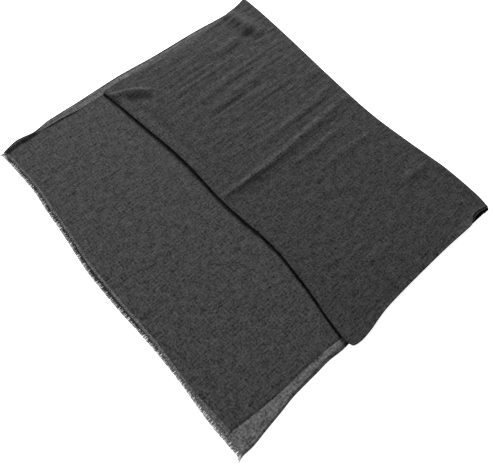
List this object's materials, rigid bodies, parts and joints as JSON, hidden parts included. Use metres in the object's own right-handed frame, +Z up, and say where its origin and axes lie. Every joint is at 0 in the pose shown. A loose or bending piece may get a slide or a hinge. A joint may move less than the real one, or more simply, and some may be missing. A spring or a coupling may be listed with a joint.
{
  "type": "wool scarf",
  "caption": "Thin charcoal wool scarf with short fringed ends, folded in half and its folded end turned back, lying flat on a surface.",
  "frame": {"origin": "on the table, at the centre of the folded scarf's bounding box", "axes": "+X runs along the scarf's length from the fringed ends to the turn, +Y runs across its width towards the far selvedge, and +Z is up from the table"},
  "size_m": [0.6437, 0.7154, 0.0081],
  "materials": {
    "wool": "charcoal melange wool in a fine plain weave, matt, with a short soft nap, two or more layers deep",
    "single_wool": "the same charcoal wool where one layer lies alone on a pale table and looks lighter, because it is thin",
    "fringe_yarn": "loose ends of grey wool yarn, fuzzy and lighter than the cloth"
  },
  "bodies": {
    "root": {"under_stretch": "single_wool", "lower_panel": "wool", "inner_layers": "wool", "top_flap": "wool", "fringe_under": "fringe_yarn", "fringe_lower": "fringe_yarn"}
  },
  "joints": []
}
